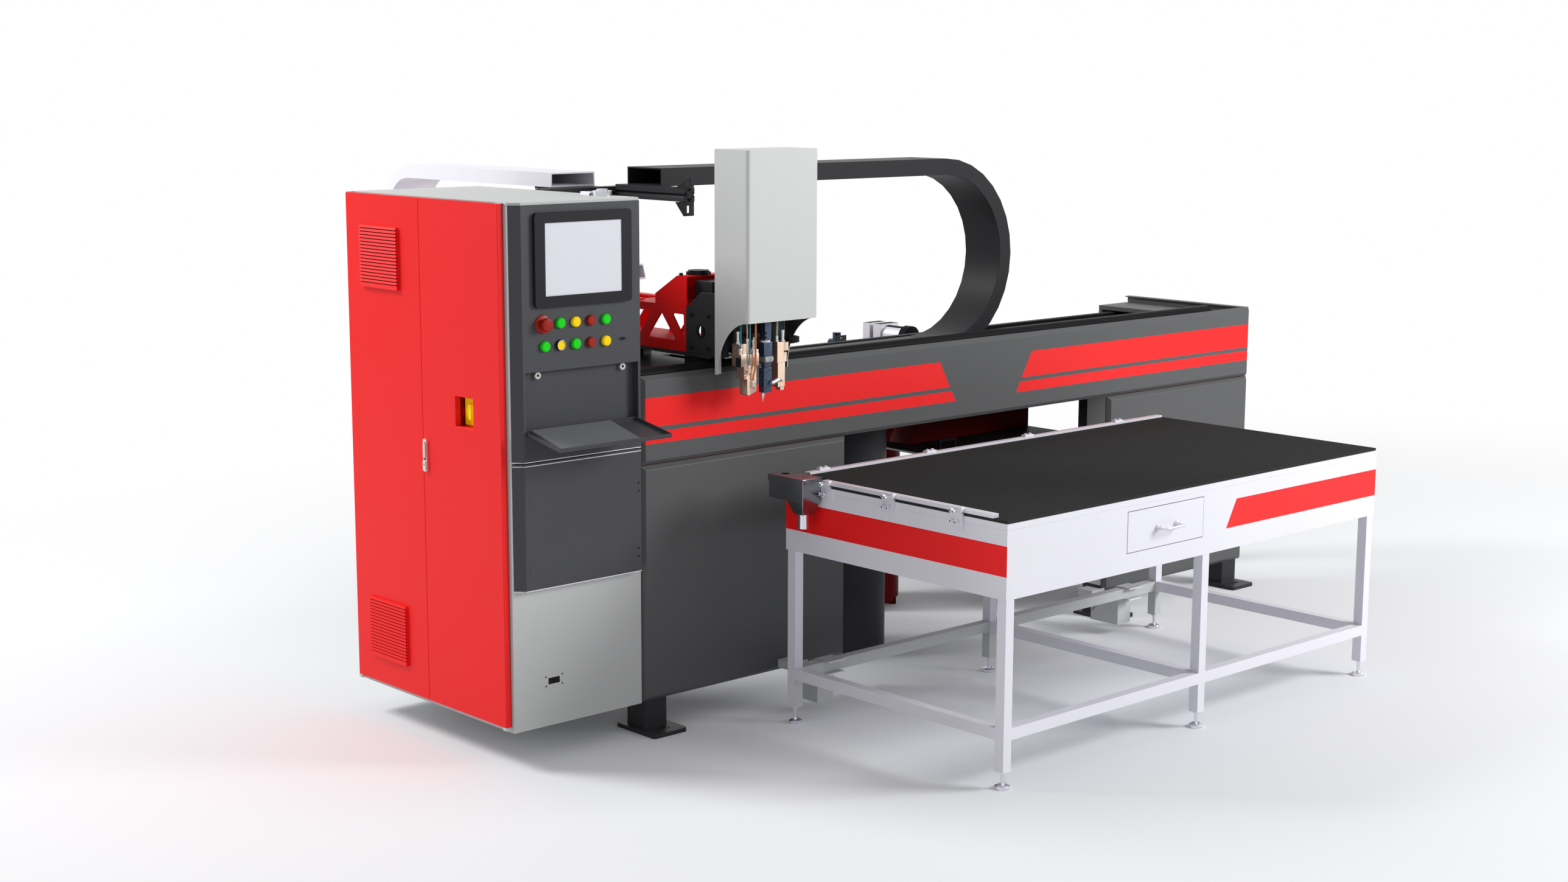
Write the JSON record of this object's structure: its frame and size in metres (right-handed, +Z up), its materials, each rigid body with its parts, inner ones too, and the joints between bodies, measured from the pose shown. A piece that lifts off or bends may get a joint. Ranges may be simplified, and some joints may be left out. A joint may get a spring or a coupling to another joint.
{
  "type": "gasket dispensing machine",
  "caption": "Gantry machine that lays foamed gaskets: slotted-foot beam, sliding truss arm with a mixing head, cable chains, loading table and control cabinet.",
  "frame": {"origin": "on the floor, in the middle of the beam's four outer anchor slots", "axes": "+X along the beam away from the control cabinet, +Y from the loading table towards the back, +Z up"},
  "size_m": [4.1018, 3.136, 2.036],
  "materials": {
    "grey_paint": "satin",
    "black_paint": "satin",
    "red_paint": "satin",
    "post_grey": "satin",
    "rail_black": "semi-gloss",
    "cabinet_grey": "satin",
    "door_red": "satin",
    "vent_plastic": "matte",
    "polished_steel": "polished",
    "yellow_plastic": "semi-gloss",
    "panel_grey": "satin",
    "screen_plastic": "semi-gloss",
    "red_plastic": "glossy",
    "green_plastic": "glossy",
    "key_plastic": "matte",
    "steel": "brushed",
    "profile_alu": "anodised",
    "plate_alu": "milled",
    "black_chain": "matte",
    "white_chain": "matte",
    "felt_grey": "felt",
    "foot_rubber": "matte",
    "white_paint": "satin",
    "cover_white": "satin",
    "copper_block": "polished",
    "blue_steel": "satin"
  },
  "bodies": {
    "machine": {"machine_bed": "grey_paint", "front_cover": "grey_paint", "pedestal_panels": "grey_paint", "floor_columns": "black_paint", "support_post": "post_grey", "end_box": "grey_paint", "x_rails": "rail_black", "cabinet_body": "cabinet_grey", "cabinet_roof": "cabinet_grey", "upper_cover": "panel_grey", "lower_cover": "panel_grey", "touch_screen": "screen_plastic", "roof_swivel": "polished_steel", "mounting_plate": "plate_alu", "x_chain_guide": "black_chain", "table_frame": "white_paint", "table_top": "white_paint", "felt_pad": "felt_grey", "guide_bars": "profile_alu", "guide_clamps": "plate_alu", "levelling_feet": "foot_rubber", "purge_box": "steel", "supply_tanks": "red_paint", "service_bench": "plate_alu", "air_regulator": "polished_steel"},
    "front_door": {"front_door": "door_red"},
    "rear_door": {"rear_door": "door_red", "door_vents": "vent_plastic"},
    "swing_handle": {"swing_handle": "polished_steel"},
    "switch_knob": {"switch_knob": "yellow_plastic"},
    "emergency_stop": {"emergency_stop": "red_plastic"},
    "keyboard_tray": {"keyboard_tray": "panel_grey", "keyboard": "key_plastic"},
    "x_carriage": {"x_carriage": "black_paint", "chain_support": "rail_black", "x_chain_top": "black_chain", "y_chain_top": "white_chain"},
    "x_chain_loop": {"x_chain_loop": "black_chain"},
    "y_chain_loop": {"y_chain_loop": "white_chain"},
    "y_arm": {"truss_arm": "red_paint", "arm_base": "black_paint", "end_bracket": "black_paint", "motor_hood": "red_paint", "head_cover": "cover_white", "z_slide": "plate_alu", "y_chain_guide": "white_chain"},
    "z_head": {"mixing_head": "blue_steel", "left_valve": "copper_block", "right_valve": "copper_block"},
    "mixer_shaft": {"mixer_shaft": "steel"},
    "drawer": {"drawer": "white_paint"},
    "start_button": {"start_button": "green_plastic"},
    "pause_button": {"pause_button": "yellow_plastic"},
    "stop_button": {"stop_button": "red_plastic"},
    "reset_button": {"reset_button": "green_plastic"},
    "power_button": {"power_button": "green_plastic"},
    "light_button": {"light_button": "yellow_plastic"},
    "pump_button": {"pump_button": "green_plastic"},
    "purge_button": {"purge_button": "red_plastic"},
    "home_button": {"home_button": "yellow_plastic"}
  },
  "joints": [
    {"name": "x_axis", "type": "slide", "parent": "machine", "child": "x_carriage", "axis": [1, 0, 0], "range_m": [0, 2.15]},
    {"name": "y_axis", "type": "slide", "parent": "x_carriage", "child": "y_arm", "axis": [0, -1, 0], "range_m": [0, 1.05]},
    {"name": "z_axis", "type": "slide", "parent": "y_arm", "child": "z_head", "axis": [0, 0, -1], "range_m": [0, 0.235]},
    {"name": "mixer_spin", "type": "hinge", "parent": "z_head", "child": "mixer_shaft", "pos_m": [-1.306, -0.485, 1.34], "axis": [0, 0, 1], "continuous": true},
    {"name": "x_chain_slide", "type": "slide", "parent": "x_carriage", "child": "x_chain_loop", "axis": [1, 0, 0], "range_m": [-1.08, 0], "deforming": ["x_chain_top"]},
    {"name": "y_chain_slide", "type": "slide", "parent": "x_carriage", "child": "y_chain_loop", "axis": [0, -1, 0], "range_m": [0, 0.53], "deforming": ["y_chain_top"]},
    {"name": "front_door_hinge", "type": "hinge", "parent": "machine", "child": "front_door", "pos_m": [-2.3165, -0.3225, 1.003], "axis": [0, 0, 1], "range_deg": [0, 110]},
    {"name": "rear_door_hinge", "type": "hinge", "parent": "machine", "child": "rear_door", "pos_m": [-2.3165, 0.5765, 1.003], "axis": [0, 0, -1], "range_deg": [0, 110]},
    {"name": "handle_turn", "type": "hinge", "parent": "front_door", "child": "swing_handle", "pos_m": [-2.34, 0.106, 1.046], "axis": [1, 0, 0], "range_deg": [-90, 0]},
    {"name": "switch_turn", "type": "hinge", "parent": "machine", "child": "switch_knob", "pos_m": [-2.295, -0.122, 1.178], "axis": [-1, 0, 0], "range_deg": [0, 90]},
    {"name": "tray_fold", "type": "hinge", "parent": "machine", "child": "keyboard_tray", "pos_m": [-2.0195, -0.366, 1.131], "axis": [-1, 0, 0], "range_deg": [0, 99.5]},
    {"name": "emergency_push", "type": "slide", "parent": "machine", "child": "emergency_stop", "axis": [0, 1, 0], "range_m": [0, 0.006]},
    {"name": "start_push", "type": "slide", "parent": "machine", "child": "start_button", "axis": [0, 1, 0], "range_m": [0, 0.005], "stiffness_N_per_m": 400},
    {"name": "pause_push", "type": "slide", "parent": "machine", "child": "pause_button", "axis": [0, 1, 0], "range_m": [0, 0.005], "stiffness_N_per_m": 400},
    {"name": "stop_push", "type": "slide", "parent": "machine", "child": "stop_button", "axis": [0, 1, 0], "range_m": [0, 0.005], "stiffness_N_per_m": 400},
    {"name": "reset_push", "type": "slide", "parent": "machine", "child": "reset_button", "axis": [0, 1, 0], "range_m": [0, 0.005], "stiffness_N_per_m": 400},
    {"name": "power_push", "type": "slide", "parent": "machine", "child": "power_button", "axis": [0, 1, 0], "range_m": [0, 0.005], "stiffness_N_per_m": 400},
    {"name": "light_push", "type": "slide", "parent": "machine", "child": "light_button", "axis": [0, 1, 0], "range_m": [0, 0.005], "stiffness_N_per_m": 400},
    {"name": "pump_push", "type": "slide", "parent": "machine", "child": "pump_button", "axis": [0, 1, 0], "range_m": [0, 0.005], "stiffness_N_per_m": 400},
    {"name": "purge_push", "type": "slide", "parent": "machine", "child": "purge_button", "axis": [0, 1, 0], "range_m": [0, 0.005], "stiffness_N_per_m": 400},
    {"name": "home_push", "type": "slide", "parent": "machine", "child": "home_button", "axis": [0, 1, 0], "range_m": [0, 0.005], "stiffness_N_per_m": 400},
    {"name": "drawer_slide", "type": "slide", "parent": "machine", "child": "drawer", "axis": [0, -1, 0], "range_m": [0, 0.36]}
  ],
  "couplings": [
    {"joint": "x_chain_slide", "follows": "x_axis", "ratio": -0.5},
    {"joint": "y_chain_slide", "follows": "y_axis", "ratio": 0.5}
  ]
}
